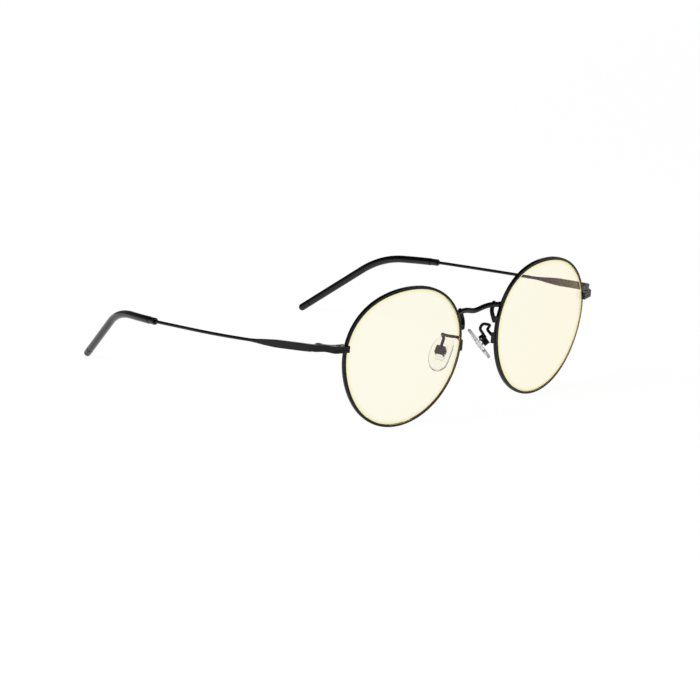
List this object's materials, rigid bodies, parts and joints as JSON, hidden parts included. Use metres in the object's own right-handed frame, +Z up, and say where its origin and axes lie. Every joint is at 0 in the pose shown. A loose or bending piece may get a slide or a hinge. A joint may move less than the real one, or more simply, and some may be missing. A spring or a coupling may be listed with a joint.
{
  "type": "blue light glasses",
  "caption": "Round wire-framed glasses with pale yellow blue-light lenses, a saddle bridge, rocking nose pads and folding temples with sleeved tips.",
  "frame": {"origin": "on the table, at the middle of the whole object's footprint, with the temples open", "axes": "+X to the wearer's left, +Y from the lenses back to the temple tips, +Z up from the table"},
  "size_m": [0.146, 0.1537, 0.0511],
  "materials": {
    "frame_metal": "black semi-gloss lacquer on nickel-alloy wire",
    "lens": "pale yellow tinted resin with an anti-reflection coating",
    "tip": "black moulded acetate, polished",
    "pad": "clear soft silicone, satin",
    "pad_insert": "clear hard plastic insert",
    "screw": "blackened steel screw heads"
  },
  "bodies": {
    "front": {"rim_left": "frame_metal", "rim_right": "frame_metal", "lens_left": "lens", "lens_right": "lens", "bridge": "frame_metal", "endpiece_left": "frame_metal", "endpiece_right": "frame_metal", "rim_lock_block_left": "frame_metal", "rim_lock_block_right": "frame_metal", "rim_lock_screw_left": "screw", "rim_lock_screw_right": "screw", "hinge_screw_left": "screw", "hinge_screw_right": "screw", "pad_box_left": "frame_metal", "pad_box_right": "frame_metal", "pad_screw_left": "screw", "pad_screw_right": "screw", "pad_arm_left": "frame_metal", "pad_arm_right": "frame_metal"},
    "temple_left_arm": {"temple_left": "frame_metal", "hinge_tongue_left": "frame_metal", "temple_tip_left": "tip"},
    "nose_pad_left_unit": {"nose_pad_left": "pad", "pad_core_left": "pad_insert"},
    "temple_right_arm": {"temple_right": "frame_metal", "hinge_tongue_right": "frame_metal", "temple_tip_right": "tip"},
    "nose_pad_right_unit": {"nose_pad_right": "pad", "pad_core_right": "pad_insert"}
  },
  "joints": [
    {"name": "temple_left_fold", "type": "hinge", "parent": "front", "child": "temple_left_arm", "pos_m": [0.0668, -0.0642, 0.0329], "axis": [0, -0.0863, 0.9963], "range_deg": [0, 88]},
    {"name": "temple_right_fold", "type": "hinge", "parent": "front", "child": "temple_right_arm", "pos_m": [-0.0668, -0.0642, 0.0329], "axis": [0, 0.0863, -0.9963], "range_deg": [0, 86]},
    {"name": "nose_pad_left_rock", "type": "hinge", "parent": "front", "child": "nose_pad_left_unit", "pos_m": [0.01118, -0.06736, 0.02296], "axis": [-0.4355, -0.8874, -0.1516], "range_deg": [-12, 12]},
    {"name": "nose_pad_right_rock", "type": "hinge", "parent": "front", "child": "nose_pad_right_unit", "pos_m": [-0.01118, -0.06736, 0.02296], "axis": [-0.4355, 0.8874, 0.1516], "range_deg": [-12, 12]}
  ]
}
